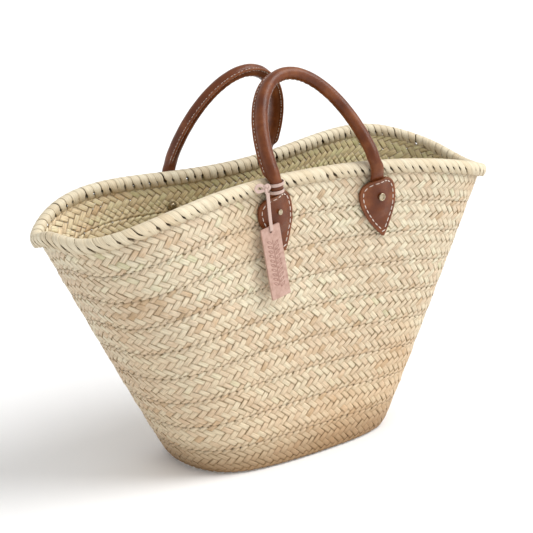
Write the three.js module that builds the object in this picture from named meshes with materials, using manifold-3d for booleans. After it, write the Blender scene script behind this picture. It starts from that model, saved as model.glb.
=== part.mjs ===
// A woven market basket: an oval tote sewn up from one long strip of plaited palm leaf, with a bound rim,
// two leather-covered rope handles held by leaf-shaped riveted tabs, and a leather hang tag on a ribbon.
// Millimetres, +X along the mouth, -Y the front, +Z up. The base rests on z = 0.
import * as THREE from "three";
import { LoftGeometry } from "three/addons/geometries/LoftGeometry.js";
import { mergeVertices } from "three/addons/utils/BufferGeometryUtils.js";
import Module from "manifold-3d";

const wasm = await Module();
wasm.setup();

// The body of the basket
const mouth = { halfLength: 291.5, halfWidth: 98.2, height: 304 };
const base = { halfLength: 136.5, halfWidth: 79, squareness: 0.053 };
const cornerRounding = 0.047; // how softly the wall turns up out of the base
const plaitThickness = 4;
const turnCount = 9; // turns of the plait between the base and the rim
const seamGap = 2; // between turns, where the sewing cord runs
const sewingCordSize = 1.3;
const rimRadius = 6;
const rimCoreRadius = 4;
const rimInset = 5; // the roll's centre, inside the mouth's outline
const wrapSlit = 50; // degrees of the binding left open where the wall's edge enters it
const gap = 0.3;

// The hand-made rim dips and rises: its extra height every 30 degrees, from the right tip anticlockwise
const rimWaver = [-4, 0, 1, -3, 4, -12, 5, 1, -2, 0, -2, 3];
const waverSpread = 20;

// Handles: leather round a rope core, sewn along a fin
const tube = { radius: 7, bore: 5.2, coreRadius: 4.9, finReach: 4, finThickness: 2.4, finTurn: 50 };
const arch = { halfSpan: 70, hingeRise: 10.5, sleeveStart: 4, endClearance: 9 };
const handles = {
  front: { side: -1, lean: 31, skew: -5, rise: 114, x: 1, y: -90.5, z: 324 },
  back: { side: 1, lean: 28, skew: 0, rise: 117, x: -3, y: 90.5, z: 314 },
};

// Each handle end: where its rivet goes through the wall, and how far the tab leans
const feet = [
  { name: "front_left", handle: "front", end: -1, x: -62, z: 289, tilt: 16 },
  { name: "front_right", handle: "front", end: 1, x: 83, z: 281, tilt: 9 },
  { name: "back_left", handle: "back", end: -1, x: -83, z: 272, tilt: -9 },
  { name: "back_right", handle: "back", end: 1, x: 62, z: 277, tilt: -16 },
];

const tab = { above: 20, below: 44, halfWidth: 25, thickness: 3.2, bulgeWidth: 14 };
const rivet = { shank: 2, head: 4.25, headHeight: 2, dish: 0.7, burr: 3, burrHeight: 1.2, hole: 2.3 };
const washer = { radius: 5.5, thickness: 1 };

// The hang tag, its cord and the ribbon tied round the front left handle end
const tag = { width: 25, length: 80, thickness: 2, holeDrop: 6, holeRadius: 1.5, slant: 10, corner: 2 };
const tagHole = { x: -77, y: -87.5, z: 271 };
const knot = { x: -84, y: -92.5, z: 319, halfWidth: 3.6, halfHeight: 4.6 };
const ribbon = { width: 4.5, thickness: 1.4, wrapHeight: 8, wrapTop: 322 };

// Puts the origin under the middle of the whole basket
const centring = { x: 4, y: 1.14 };

const ringSteps = 48;
const TAU = 2 * Math.PI;
const rad = THREE.MathUtils.degToRad;
const vec = (x, y, z) => new THREE.Vector3(x, y, z);

const finish = {
  palm: { color: 0xd9c894, roughness: 0.75, metalness: 0 },
  palmShade: { color: 0xc2b07a, roughness: 0.8, metalness: 0 },
  cord: { color: 0xb7a26a, roughness: 0.85, metalness: 0 },
  leather: { color: 0x8a4a2a, roughness: 0.45, metalness: 0 },
  rope: { color: 0xcbb791, roughness: 0.9, metalness: 0 },
  thread: { color: 0xeee0d2, roughness: 0.7, metalness: 0 },
  metal: { color: 0xc9bfa4, roughness: 0.3, metalness: 1 },
  tagLeather: { color: 0xb98683, roughness: 0.55, metalness: 0 },
  ribbon: { color: 0xcdb9b4, roughness: 0.8, metalness: 0 },
};

const basket = new THREE.Group();

function addMesh(name, geometry, look) {
  const mesh = new THREE.Mesh(geometry, new THREE.MeshStandardMaterial(look));
  mesh.name = name;
  basket.add(mesh);
  return mesh;
}

// ---- Making solids ----

function merged(geometry) {
  const plain = new THREE.BufferGeometry();
  plain.setAttribute("position", geometry.getAttribute("position"));
  plain.setIndex(geometry.index);
  return mergeVertices(plain, 1e-4);
}

function signedVolume(geometry) {
  const p = geometry.getAttribute("position");
  const index = geometry.index.array;
  const [a, b, c] = [vec(), vec(), vec()];
  let volume = 0;
  for (let i = 0; i < index.length; i += 3) {
    a.fromBufferAttribute(p, index[i]);
    b.fromBufferAttribute(p, index[i + 1]);
    c.fromBufferAttribute(p, index[i + 2]);
    volume += a.dot(b.cross(c)) / 6;
  }
  return volume;
}

// Turns a closed surface the right way out, whichever way its sections were listed.
function facingOut(geometry) {
  const shape = merged(geometry);
  if (signedVolume(shape) < 0) {
    const index = shape.index.array;
    for (let i = 0; i < index.length; i += 3) {
      [index[i + 1], index[i + 2]] = [index[i + 2], index[i + 1]];
    }
  }
  return shape;
}

const middleOf = (points) => points.reduce((sum, p) => sum.add(p), vec()).divideScalar(points.length);

// A capped loft needs its sections anticlockwise as seen from its far end.
function loft(sections) {
  const first = sections[0];
  const normal = vec();
  first.forEach((p, i) => normal.add(p.clone().cross(first[(i + 1) % first.length])));
  const backwards = normal.dot(middleOf(sections[1]).sub(middleOf(first))) < 0;
  const ordered = backwards ? sections.map((section) => [...section].reverse()) : sections;
  return facingOut(new LoftGeometry(ordered, { capStart: true, capEnd: true }));
}

const closedLoft = (sections) => facingOut(new LoftGeometry([...sections, sections[0]]));

function solidOf(geometry) {
  const shape = facingOut(geometry);
  return new wasm.Manifold(
    new wasm.Mesh({
      numProp: 3,
      vertProperties: new Float32Array(shape.getAttribute("position").array),
      triVerts: new Uint32Array(shape.index.array),
    }),
  );
}

function geometryOf(solid) {
  const mesh = solid.getMesh();
  const geometry = new THREE.BufferGeometry();
  geometry.setAttribute("position", new THREE.BufferAttribute(new Float32Array(mesh.vertProperties), 3));
  geometry.setIndex(new THREE.BufferAttribute(new Uint32Array(mesh.triVerts), 1));
  geometry.computeVertexNormals();
  return geometry;
}

const cut = (geometry, ...cutters) =>
  geometryOf(cutters.reduce((left, cutter) => left.subtract(solidOf(cutter)), solidOf(geometry)));

// ---- The basket's surface ----

function waver(phi) {
  let extra = 0;
  rimWaver.forEach((rise, i) => {
    const away = phi - (i * TAU) / rimWaver.length;
    const turn = Math.atan2(Math.sin(away), Math.cos(away)) / rad(waverSpread);
    extra += rise * Math.exp(-turn * turn);
  });
  return extra;
}

// The mouth's outline: pinched at the waist, arched up along both sides and a little twisted.
function mouthAt(phi) {
  const c = (n) => Math.cos(n * phi);
  const s = (n) => Math.sin(n * phi);
  return vec(
    (mouth.halfLength * (c(1) - 0.074 * c(3))) / 0.926 - 4 * c(2),
    mouth.halfWidth * (s(1) + 0.154 * s(3) - 0.071 * s(5)) + 0.8 * s(2) + 0.8 * c(1),
    mouth.height - 16.2 * c(2) + 2.1 * c(6) + 6 * s(3) + 6.6 * s(2) + waver(phi),
  );
}

function baseAt(phi) {
  const bend = base.squareness;
  return vec(
    base.halfLength * (Math.cos(phi) - bend * Math.cos(3 * phi)) - 1.3,
    base.halfWidth * (Math.sin(phi) + bend * Math.sin(3 * phi)),
    0,
  );
}

// The wall leaves the base level and straightens within a few millimetres.
function flare(share) {
  const full = Math.hypot(1, cornerRounding) - cornerRounding;
  return Math.sqrt((share * full + cornerRounding) ** 2 - cornerRounding ** 2);
}

function outlineAt(phi, share) {
  const low = baseAt(phi);
  const high = mouthAt(phi);
  const out = flare(share);
  return vec(low.x + (high.x - low.x) * out, low.y + (high.y - low.y) * out, high.z * share);
}

function outwardAt(phi, share) {
  const step = 1e-3;
  const run = outlineAt(phi + step, share).sub(outlineAt(phi - step, share));
  return vec(run.y, -run.x, 0).normalize();
}

// A point on the wall at a height, moved inwards from its outer face.
function wallAt(phi, z, inwards = 0) {
  const share = z / mouthAt(phi).z;
  const inset = 3 * share * share + inwards;
  return outlineAt(phi, share).addScaledVector(outwardAt(phi, share), -inset);
}

// The wall's outer face straight behind or in front of a place given by x and z.
function facePoint(x, z, side) {
  let [low, high] = side < 0 ? [Math.PI, TAU] : [Math.PI, 0];
  for (let i = 0; i < 40; i++) {
    const middle = (low + high) / 2;
    if (wallAt(middle, z).x < x) low = middle;
    else high = middle;
  }
  return wallAt(low, z);
}

const ring = (sectionAt) =>
  closedLoft(Array.from({ length: ringSteps }, (_, i) => sectionAt((i * TAU) / ringSteps)));

// ---- Plaited base, wall turns and the cord that sews them ----

const wallTopDrop = 2 * rimRadius + gap; // from the rim's top down to the wall's edge
const seamShare = (i) => (i / turnCount) * (1 - wallTopDrop / mouth.height);
const seamHeight = (i, phi) => seamShare(i) * mouthAt(phi).z;

function turnSection(i, phi) {
  const bottom = i === 0 ? 0.4 : seamHeight(i, phi) + seamGap / 2;
  const top = i === turnCount - 1 ? mouthAt(phi).z - wallTopDrop - gap : seamHeight(i + 1, phi) - seamGap / 2;
  const shares = i === 0 ? [0, 0.05, 0.15, 0.4, 1] : [0, 1];
  const heights = shares.map((share) => bottom + (top - bottom) * share);
  const outer = heights.map((z) => wallAt(phi, z));
  const inner = heights.map((z) => wallAt(phi, z, plaitThickness)).reverse();
  return [...outer, ...inner];
}

function cordSection(i, phi) {
  const half = sewingCordSize / 2;
  const z = seamHeight(i, phi);
  const middle = plaitThickness / 2;
  return [
    wallAt(phi, z - half, middle - half),
    wallAt(phi, z + half, middle - half),
    wallAt(phi, z + half, middle + half),
    wallAt(phi, z - half, middle + half),
  ];
}

function baseSolid() {
  const edge = (z) =>
    Array.from({ length: ringSteps }, (_, i) => {
      const at = wallAt((i * TAU) / ringSteps, 0.4, plaitThickness + gap);
      return vec(at.x, at.y, z);
    });
  return loft([edge(0), edge(plaitThickness)]);
}

// ---- The bound rim ----

function rollCentre(phi) {
  const top = mouthAt(phi);
  return top.addScaledVector(outwardAt(phi, 1), -rimInset).setZ(top.z - rimRadius);
}

function rollPoint(phi, radius, degrees) {
  const out = outwardAt(phi, 1);
  const turn = rad(degrees);
  return rollCentre(phi)
    .addScaledVector(out, radius * Math.cos(turn))
    .add(vec(0, 0, radius * Math.sin(turn)));
}

const coreSection = (phi) =>
  Array.from({ length: 8 }, (_, i) => rollPoint(phi, rimCoreRadius, 45 * i + 22.5));

function wrapSection(phi) {
  const steps = 7;
  const turns = Array.from({ length: steps }, (_, i) => -90 + wrapSlit / 2 + ((360 - wrapSlit) * i) / (steps - 1));
  const outer = turns.map((turn) => rollPoint(phi, rimRadius, turn));
  const inner = turns.map((turn) => rollPoint(phi, rimCoreRadius + gap + 0.3, turn)).reverse();
  return [...outer, ...inner];
}

// ---- Handles ----

// A handle's centre line as an arch in a plane that leans in over the mouth.
function archFrame(handle) {
  const lean = rad(handle.lean);
  const up = vec(0, -handle.side * Math.sin(lean), Math.cos(lean));
  const inwards = vec(0, -handle.side * Math.cos(lean), -Math.sin(lean));
  const at = (angle) => {
    const across = arch.halfSpan * Math.cos(angle) + handle.skew * Math.sin(angle);
    return vec(handle.x + across, handle.y, handle.z).addScaledVector(up, handle.rise * Math.sin(angle));
  };
  const angleAt = (rise) => Math.asin(rise / handle.rise);
  return { up, inwards, at, angleAt };
}

function archSections(handle, startRise, steps, sides, radiusAt) {
  const frame = archFrame(handle);
  const start = frame.angleAt(startRise);
  return Array.from({ length: steps + 1 }, (_, i) => {
    const angle = start + ((Math.PI - 2 * start) * i) / steps;
    const centre = frame.at(angle);
    const along = frame.at(angle + 1e-3).sub(frame.at(angle - 1e-3)).normalize();
    const out = frame.inwards.clone().cross(along).normalize();
    if (out.dot(frame.up) * Math.sin(angle) + out.x * Math.cos(angle) < 0) out.negate();
    return sides.map((side) => {
      const turn = rad(side.turn);
      return centre
        .clone()
        .addScaledVector(out, radiusAt(side) * Math.cos(turn))
        .addScaledVector(frame.inwards, radiusAt(side) * Math.sin(turn));
    });
  });
}

// Directions round the tube: the fin's four corners, then the rest of the circle.
function sleeveSides() {
  const root = THREE.MathUtils.radToDeg(Math.asin(tube.finThickness / 2 / tube.radius));
  const edge = THREE.MathUtils.radToDeg(Math.asin(tube.finThickness / 2 / (tube.radius + tube.finReach)));
  const fin = [
    { turn: tube.finTurn - root, radius: tube.radius },
    { turn: tube.finTurn - edge, radius: tube.radius + tube.finReach },
    { turn: tube.finTurn + edge, radius: tube.radius + tube.finReach },
    { turn: tube.finTurn + root, radius: tube.radius },
  ];
  const rest = [45, 90, 135, 180, 225, 270, 315].map((turn) => ({
    turn: tube.finTurn + turn,
    radius: tube.radius,
  }));
  return [...fin, ...rest];
}

const archSteps = 26;

function sleeveSolid(handle) {
  const start = arch.hingeRise + arch.sleeveStart;
  const sides = sleeveSides();
  const outer = archSections(handle, start, archSteps, sides, (side) => side.radius);
  const inner = archSections(handle, start, archSteps, sides, () => tube.bore);
  return closedLoft([...outer, ...inner.reverse()]);
}

// The rope's ends are rounded on the hinge line, where the handle bends at the rim.
function ropeSolid(handle) {
  const sides = Array.from({ length: 8 }, (_, i) => ({ turn: 45 * i }));
  const r = tube.coreRadius;
  const sections = archSections(handle, arch.hingeRise, archSteps, sides, () => r);
  const dome = (section, next) => {
    const centre = middleOf(section);
    const away = centre.clone().sub(middleOf(next)).normalize();
    return [60, 30].map((turn) =>
      section.map((p) =>
        centre
          .clone()
          .addScaledVector(p.clone().sub(centre), Math.sin(rad(turn - 15)))
          .addScaledVector(away, r * Math.cos(rad(turn - 15))),
      ),
    );
  };
  const first = dome(sections[0], sections[1]);
  const last = dome(sections.at(-1), sections.at(-2));
  return loft([...first.reverse(), ...sections, ...last]);
}

function finThread(handle) {
  const beside = tube.finThickness / 2 + gap;
  const place = (radial, across) => ({
    turn: tube.finTurn - THREE.MathUtils.radToDeg(Math.atan2(across, radial)),
    radius: Math.hypot(radial, across),
  });
  const low = tube.radius + 1.2;
  const sides = [place(low, beside), place(low + 0.9, beside), place(low + 0.9, beside + 0.6), place(low, beside + 0.6)];
  const start = arch.hingeRise + arch.sleeveStart + 2;
  return loft(archSections(handle, start, archSteps, sides, (side) => side.radius));
}

// ---- Handle ends, tabs and rivets ----

// A foot's own frame: across the wall, up the tab, and out of the wall.
function footFrame(foot) {
  const side = handles[foot.handle].side;
  const face = facePoint(foot.x, foot.z, side);
  const beside = facePoint(foot.x + 5, foot.z, side).sub(facePoint(foot.x - 5, foot.z, side)).normalize();
  const out = vec(beside.y, -beside.x, 0).multiplyScalar(-side).normalize();
  const tilt = rad(foot.tilt);
  const place = (across, above, outwards) => {
    const x = foot.x + across * Math.cos(tilt) - above * Math.sin(tilt);
    const z = foot.z + above * Math.cos(tilt) + across * Math.sin(tilt);
    return facePoint(x, z, side).addScaledVector(out, outwards);
  };
  return { side, face, beside, out, place };
}

function hingeOf(foot) {
  const handle = handles[foot.handle];
  const frame = archFrame(handle);
  const angle = frame.angleAt(arch.hingeRise);
  return frame.at(foot.end > 0 ? angle : Math.PI - angle);
}

// Stations of a handle's flattened end, from under the tab up to just below the bend.
const endStations = [
  { above: -15, out: 2.4, thick: 1.8, wide: 9 },
  { above: 0, out: 2.7, thick: 2.2, wide: 9.5 },
  { above: 6.5, out: 2.9, thick: 2.4, wide: 9.5 },
  { above: 14, out: 3.4, thick: 2.8, wide: 9.5 },
  { above: 20, out: 6.2, thick: 4.6, wide: 8.5 },
];
const rollStations = [
  { below: 19, out: 12.1, thick: 6.6, wide: 7.2 },
  { below: 13, out: 12.8, thick: 7, wide: 7 },
];

// The middle of the handle end at a height above the tab, between its top and the hinge.
function neckCentre(foot, z, outwards) {
  const { side, out, place } = footFrame(foot);
  const hinge = hingeOf(foot);
  const tabTop = place(0, tab.above, 0);
  const share = (z - tabTop.z) / (hinge.z - tabTop.z);
  const face = facePoint(THREE.MathUtils.lerp(tabTop.x, hinge.x, share), Math.min(z, tabTop.z), side);
  return face.setZ(z).addScaledVector(out, outwards);
}

function handleEndSolid(foot) {
  const { side, beside, place } = footFrame(foot);
  const hinge = hingeOf(foot);
  const slice = (centre, station, tilt) =>
    Array.from({ length: 10 }, (_, i) => {
      const turn = (i * TAU) / 10;
      return centre
        .clone()
        .addScaledVector(beside, station.wide * Math.cos(turn) * Math.cos(rad(tilt)))
        .add(vec(0, 0, station.wide * Math.cos(turn) * Math.sin(rad(tilt))))
        .addScaledVector(vec(0, side, 0), station.thick * Math.sin(turn));
    });
  const low = endStations.map((station) => slice(place(0, station.above, station.out), station, foot.tilt));
  const high = rollStations.map((station, i) =>
    slice(neckCentre(foot, hinge.z - station.below, station.out), station, foot.tilt / (i + 2)),
  );
  const top = { thick: tube.radius, wide: tube.radius };
  const neck = vec(hinge.x, hinge.y + side * 3.8, hinge.z - arch.endClearance);
  return loft([...low, ...high, slice(neck, top, 0)]);
}

// How far the tab's back stands off the wall on its centre line, over the handle end beneath it.
const standOff = [
  [-44, 0.4],
  [-26, 0.6],
  [-15, 4.9],
  [0, 5.6],
  [6.5, 6],
  [14, 8.6],
  [20, 13.4],
];

function standOffAt(above) {
  const next = Math.max(1, standOff.findIndex(([v]) => v >= above));
  const [v0, d0] = standOff[next - 1];
  const [v1, d1] = standOff[next];
  return d0 + ((d1 - d0) * (above - v0)) / (v1 - v0);
}

function tabHalfWidth(above) {
  if (above >= 0) return tab.halfWidth * Math.sqrt(1 - (above / (tab.above * 1.09)) ** 2);
  return tab.halfWidth * (1 - (-above / (tab.below * 1.03)) ** 1.7);
}

const tabRows = [-44, -40, -34, -26, -20, -15, -8, 0, 6.5, 11, 15, 18, 20];

function tabSolid(foot) {
  const { place } = footFrame(foot);
  const columns = [-1, -0.75, -0.5, -0.25, 0, 0.25, 0.5, 0.75, 1];
  return loft(
    tabRows.map((above) => {
      const wide = tabHalfWidth(above);
      const lift = (across) => gap + standOffAt(above) * Math.exp(-((across / tab.bulgeWidth) ** 2));
      const back = columns.map((share) => place(share * wide, above, lift(share * wide)));
      const front = columns.map((share) => place(share * wide, above, lift(share * wide) + tab.thickness));
      return [...back, ...front.reverse()];
    }),
  );
}

// A bar along the rivet's line, from one distance out of the wall to another.
function barThrough(foot, radius, from, to) {
  const { face, out } = footFrame(foot);
  const bar = new THREE.CylinderGeometry(radius, radius, Math.abs(to - from), 12);
  bar.applyQuaternion(new THREE.Quaternion().setFromUnitVectors(vec(0, 1, 0), out));
  const middle = face.clone().addScaledVector(out, (from + to) / 2);
  return bar.translate(middle.x, middle.y, middle.z);
}

const headSeat = 6 + tab.thickness + 2 * gap + 0.3;
const washerFace = -plaitThickness - gap - 0.4;

function rivetSolid(foot) {
  const { face, out } = footFrame(foot);
  const washerBack = washerFace - washer.thickness - gap;
  const profile = [
    [0, washerBack - rivet.burrHeight],
    [rivet.burr, washerBack - rivet.burrHeight * 0.6],
    [rivet.burr, washerBack],
    [rivet.shank, washerBack],
    [rivet.shank, headSeat],
    [rivet.head, headSeat],
    [rivet.head, headSeat + rivet.headHeight * 0.6],
    [rivet.head * 0.75, headSeat + rivet.headHeight],
    [rivet.head * 0.5, headSeat + rivet.headHeight - rivet.dish],
    [0, headSeat + rivet.headHeight - rivet.dish],
  ].map(([r, y]) => new THREE.Vector2(r, y));
  const lathe = new THREE.LatheGeometry(profile, 12);
  lathe.applyQuaternion(new THREE.Quaternion().setFromUnitVectors(vec(0, 1, 0), out));
  return facingOut(lathe.translate(face.x, face.y, face.z));
}

function washerSolid(foot) {
  const disc = barThrough(foot, washer.radius, washerFace, washerFace - washer.thickness);
  return cut(disc, barThrough(foot, rivet.hole, washerFace + 3, washerFace - 4));
}

// A thread lying in the tab's face along its edge, left open at the top where the handle enters.
function tabThread(foot) {
  const { place } = footFrame(foot);
  const route = [];
  const inset = 4;
  const rows = [14, 8, 0, -8, -16, -24, -32, -38];
  const edge = (above, sign) => {
    const across = Math.max(0, tabHalfWidth(above) - inset) * sign;
    return { across, above };
  };
  rows.forEach((above) => route.push(edge(above, -1)));
  [...rows].reverse().forEach((above) => route.push(edge(above, 1)));
  const lift = (p) =>
    2 * gap + 0.25 + tab.thickness + standOffAt(p.above) * Math.exp(-((p.across / tab.bulgeWidth) ** 2));
  return loft(
    route.map((p, i) => {
      const before = route[Math.max(0, i - 1)];
      const after = route[Math.min(route.length - 1, i + 1)];
      const run = Math.hypot(after.across - before.across, after.above - before.above);
      const [nx, ny] = [-(after.above - before.above) / run, (after.across - before.across) / run];
      const corner = (sideways, up) =>
        place(p.across + nx * sideways, p.above + ny * sideways, lift(p) + up);
      return [corner(-0.5, 0), corner(0.5, 0), corner(0.5, 0.6), corner(-0.5, 0.6)];
    }),
  );
}

// ---- Hang tag, cord and ribbon ----

function tagSolid() {
  const half = tag.width / 2;
  const top = tag.holeDrop;
  const bottom = tag.holeDrop - tag.length;
  const r = tag.corner;
  const outline = new THREE.Shape();
  outline.moveTo(-half + r, bottom);
  outline.lineTo(half - r, bottom);
  outline.absarc(half - r, bottom + r, r, -Math.PI / 2, 0);
  outline.lineTo(half, top - r);
  outline.absarc(half - r, top - r, r, 0, Math.PI / 2);
  outline.lineTo(-half + r, top);
  outline.absarc(-half + r, top - r, r, Math.PI / 2, Math.PI);
  outline.lineTo(-half, bottom + r);
  outline.absarc(-half + r, bottom + r, r, Math.PI, 1.5 * Math.PI);
  const hole = new THREE.Path();
  hole.absarc(0, 0, tag.holeRadius, 0, TAU, true);
  outline.holes.push(hole);
  const plate = new THREE.ExtrudeGeometry(outline, { depth: tag.thickness, bevelEnabled: false, curveSegments: 4 });
  plate.rotateX(Math.PI / 2);
  plate.rotateY(-rad(tag.slant));
  return facingOut(plate.translate(tagHole.x, tagHole.y, tagHole.z));
}

// The free cord from the knot to the tag's hole, ending just in front of the tag.
const tagCordRoute = [
  vec(knot.x + 1.2, knot.y - 0.4, knot.z - knot.halfHeight - gap - 0.2),
  vec(-81.5, -92.6, 302),
  vec(-79.6, -91.8, 288),
  vec(tagHole.x, tagHole.y - 3.4, tagHole.z + 1.2),
];

function cordSolid(route, steps, wide, thick) {
  const curve = new THREE.CatmullRomCurve3(route);
  return loft(
    curve.getPoints(steps).map((centre, i) => {
      const along = curve.getTangent(i / steps);
      const sideways = vec(0, 1, 0).cross(along).normalize();
      const out = along.clone().cross(sideways).normalize();
      return Array.from({ length: 8 }, (_, k) =>
        centre
          .clone()
          .addScaledVector(sideways, (wide / 2) * Math.cos((k * TAU) / 8))
          .addScaledVector(out, (thick / 2) * Math.sin((k * TAU) / 8)),
      );
    }),
  );
}

// Two turns of ribbon round the handle end, pulled thin where they pass behind it.
function ribbonWraps(foot) {
  const inner = tube.radius + gap + 0.8;
  const circle = (z, station, thickness) =>
    Array.from({ length: 12 }, (_, i) => {
      const turn = (i * TAU) / 12;
      const radius = inner + thickness * (0.6 - 0.4 * Math.sin(turn));
      return neckCentre(foot, z, station.out).add(vec(radius * Math.cos(turn), radius * Math.sin(turn), 0));
    });
  const low = (thickness) => circle(ribbon.wrapTop - ribbon.wrapHeight, rollStations[0], thickness);
  const high = (thickness) => circle(ribbon.wrapTop, rollStations[1], thickness);
  return closedLoft([low(ribbon.thickness), high(ribbon.thickness), high(0), low(0)]);
}

function knotSolid() {
  const ball = new THREE.SphereGeometry(1, 10, 8);
  ball.scale(knot.halfWidth, knot.halfWidth * 1.1, knot.halfHeight);
  return facingOut(ball.translate(knot.x, knot.y, knot.z));
}

function ribbonTail() {
  const start = vec(knot.x - knot.halfWidth - gap - 0.3, knot.y + 0.5, knot.z + 1.5);
  return cordSolid([start, start.clone().add(vec(-5, 0.4, 3.2)), start.clone().add(vec(-10, 0.6, 1))], 8, 4, 1.4);
}

// ---- Assembly ----

addMesh("base_plait", baseSolid(), finish.palmShade);

for (let i = 0; i < turnCount; i++) {
  let wall = ring((phi) => turnSection(i, phi));
  if (i === turnCount - 1) {
    wall = cut(wall, ...feet.map((foot) => barThrough(foot, rivet.hole, 6, -plaitThickness - 4)));
  }
  addMesh(`wall_turn_${i + 1}`, wall, i % 2 ? finish.palm : finish.palmShade);
}
for (let i = 1; i < turnCount; i++) {
  addMesh(`sewing_cord_${i}`, ring((phi) => cordSection(i, phi)), finish.cord);
}

addMesh("rim_core", ring(coreSection), finish.rope);
addMesh("rim_wrap", ring(wrapSection), finish.palm);

for (const [name, handle] of Object.entries(handles)) {
  addMesh(`${name}_handle_leather`, sleeveSolid(handle), finish.leather);
  addMesh(`${name}_handle_rope`, ropeSolid(handle), finish.rope);
  addMesh(`${name}_handle_thread`, finThread(handle), finish.thread);
}

for (const foot of feet) {
  const hole = barThrough(foot, rivet.hole, -plaitThickness - 2, headSeat + 4);
  addMesh(`${foot.name}_handle_end`, cut(handleEndSolid(foot), hole), finish.leather);
  addMesh(`${foot.name}_tab`, cut(tabSolid(foot), hole), finish.leather);
  addMesh(`${foot.name}_tab_thread`, tabThread(foot), finish.thread);
  addMesh(`${foot.name}_rivet`, rivetSolid(foot), finish.metal);
  addMesh(`${foot.name}_washer`, washerSolid(foot), finish.metal);
}

addMesh("ribbon_wraps", ribbonWraps(feet[0]), finish.ribbon);
addMesh("ribbon_knot", knotSolid(), finish.ribbon);
addMesh("ribbon_tail", ribbonTail(), finish.ribbon);
addMesh("tag_cord", cordSolid(tagCordRoute, 12, ribbon.width, ribbon.thickness), finish.ribbon);
addMesh("hang_tag", tagSolid(), finish.tagLeather);

const part = new THREE.Group();
basket.position.set(centring.x, centring.y, 0);
part.add(basket);

export default part;
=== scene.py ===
import math
import bpy
import numpy as np
from mathutils import Matrix, Vector


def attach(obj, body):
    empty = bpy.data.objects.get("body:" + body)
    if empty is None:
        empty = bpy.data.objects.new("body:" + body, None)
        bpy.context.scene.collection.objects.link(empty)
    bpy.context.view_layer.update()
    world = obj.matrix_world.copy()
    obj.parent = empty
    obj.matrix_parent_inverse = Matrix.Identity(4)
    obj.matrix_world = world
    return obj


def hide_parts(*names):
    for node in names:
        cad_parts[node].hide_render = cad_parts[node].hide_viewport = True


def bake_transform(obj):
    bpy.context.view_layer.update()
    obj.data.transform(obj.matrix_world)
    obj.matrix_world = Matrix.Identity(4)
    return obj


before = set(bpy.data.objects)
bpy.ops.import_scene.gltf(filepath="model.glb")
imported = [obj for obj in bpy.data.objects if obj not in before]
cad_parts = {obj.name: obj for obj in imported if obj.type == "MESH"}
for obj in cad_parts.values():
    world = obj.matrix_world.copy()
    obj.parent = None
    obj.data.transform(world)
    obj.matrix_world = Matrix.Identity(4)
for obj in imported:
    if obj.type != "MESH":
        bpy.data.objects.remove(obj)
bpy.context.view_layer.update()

turn = 2 * math.pi
scene = bpy.context.scene
scene.view_settings.view_transform = "Standard"

# The basket's own shape. Lengths are in millimetres and angles in degrees, unless a note says otherwise
centring = np.array([4, 1.14, 0])
# The mouth is an oval with a few waves added, each running a whole number of times round it
mouth = dict(
    halfLength=291.5, halfWidth=98.2, height=304,
    endWaves=(-0.074, -4), sideWaves=(0.154, -0.071, 0.8, 0.8), heightWaves=(-16.2, 2.1, 6, 6.6),
)
base = dict(halfLength=136.5, halfWidth=79, squareness=0.053, shift=-1.3)
wall = dict(
    rounding=0.047, thickness=4, turns=9, topDrop=12.3, topLap=3, firstShare=0.004, rimInset=3, ring=721,
)
rimWaver = (-4, 0, 1, -3, 4, -12, 5, 1, -2, 0, -2, 3)  # extra height every 30 degrees
waverSpread = math.radians(20)
handles = {
    "front": dict(side=-1, lean=31, skew=-5, rise=114, x=1, y=-90.5, z=324),
    "back": dict(side=1, lean=28, skew=0, rise=117, x=-3, y=90.5, z=314),
}
arch = dict(halfSpan=70, hingeRise=10.5)
feet = {
    "front_left": dict(handle="front", end=-1, x=-62, z=289, tilt=16),
    "front_right": dict(handle="front", end=1, x=83, z=281, tilt=9),
    "back_left": dict(handle="back", end=-1, x=-83, z=272, tilt=-9),
    "back_right": dict(handle="back", end=1, x=62, z=277, tilt=-16),
}


view = dict(
    turned=39.166, down=15.682, rolled=1.483, away=2007.163, aside=10.038, above=-48.605,
    lookHeight=150, lens=120.8, farthest=50000,
)


def placeCamera():
    side, tip, roll = (math.radians(view[key]) for key in ("turned", "down", "rolled"))
    right = Vector((math.cos(side), -math.sin(side), 0))
    ahead = Vector((math.sin(side) * math.cos(tip), math.cos(side) * math.cos(tip), -math.sin(tip)))
    up = right.cross(ahead)
    rows = (right * math.cos(roll) - up * math.sin(roll), right * math.sin(roll) + up * math.cos(roll))
    spot = Vector((0, 0, view["lookHeight"])) + Vector(centring)
    spot -= rows[0] * view["aside"] + rows[1] * view["above"] + ahead * view["away"]
    bpy.ops.object.camera_add()
    camera = bpy.context.object
    facing = Matrix((rows[0], rows[1], -ahead)).transposed().to_4x4()
    camera.matrix_world = Matrix.Translation(spot / 1000) @ facing
    camera.data.lens = view["lens"]
    camera.data.clip_end = view["farthest"] / 1000
    scene.camera = camera


placeCamera()
print("camera placed")


def selectNone():
    bpy.ops.object.select_all(action="DESELECT")


def selectOnly(*objects):
    selectNone()
    for each in objects:
        each.select_set(True)
    bpy.context.view_layer.objects.active = objects[0]


def named(name):
    made = bpy.context.object
    made.name = name
    made.data.name = name
    return made


def newGrid(name, columns, rows):
    selectNone()
    bpy.ops.mesh.primitive_grid_add(x_subdivisions=columns, y_subdivisions=rows, size=2)
    return named(name)


def pointsOf(piece):
    points = np.empty(len(piece.data.vertices) * 3)
    piece.data.vertices.foreach_get("co", points)
    return points.reshape(-1, 3)


# Where each point of a new grid is, from 0 to 1 across and along
def gridShares(piece):
    points = pointsOf(piece)
    return (points[:, 0] + 1) / 2, (points[:, 1] + 1) / 2


def layPoints(piece, points):
    piece.data.vertices.foreach_set("co", ((points + centring) / 1000).ravel())
    piece.data.update()


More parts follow.
